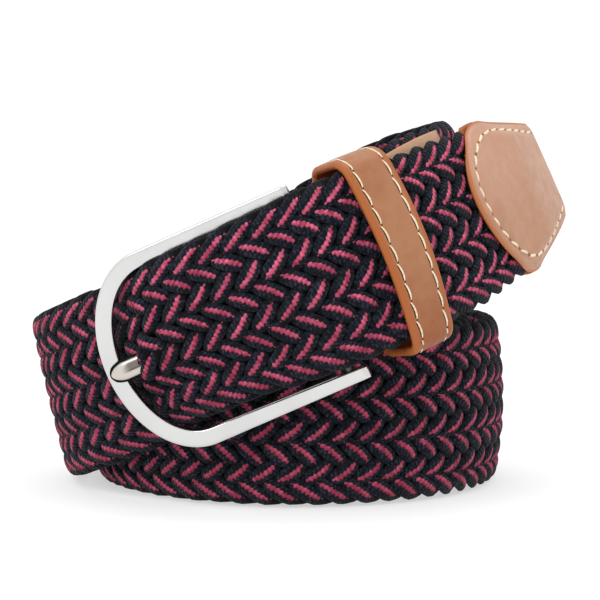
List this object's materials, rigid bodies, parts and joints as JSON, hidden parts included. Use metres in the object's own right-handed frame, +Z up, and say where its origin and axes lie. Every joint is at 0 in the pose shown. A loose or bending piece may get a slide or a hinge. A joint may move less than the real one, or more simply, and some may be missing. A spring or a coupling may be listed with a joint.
{
  "type": "braided belt",
  "caption": "Braided cord waist belt with leather tip, keeper and metal pin buckle, fastened and coiled, standing on its edge.",
  "frame": {"origin": "under the middle of the coiled belt's outline, on the surface that it stands on", "axes": "+Z up, across the standing strap; -Y the side with the buckle; +X towards the leather tip"},
  "size_m": [0.1124, 0.1084, 0.0763],
  "materials": {
    "woven_cord": "flat braided elastic cord, navy with a crimson stripe",
    "tan_leather": "smooth satin with cream stitching",
    "silver_metal": "satin silver"
  },
  "bodies": {
    "root": {"braided_strap": "woven_cord", "leather_tip": "tan_leather", "buckle_tab": "tan_leather", "keeper_loop": "tan_leather", "buckle_frame": "silver_metal", "prong": "silver_metal", "hinge_bar": "silver_metal"}
  },
  "joints": []
}
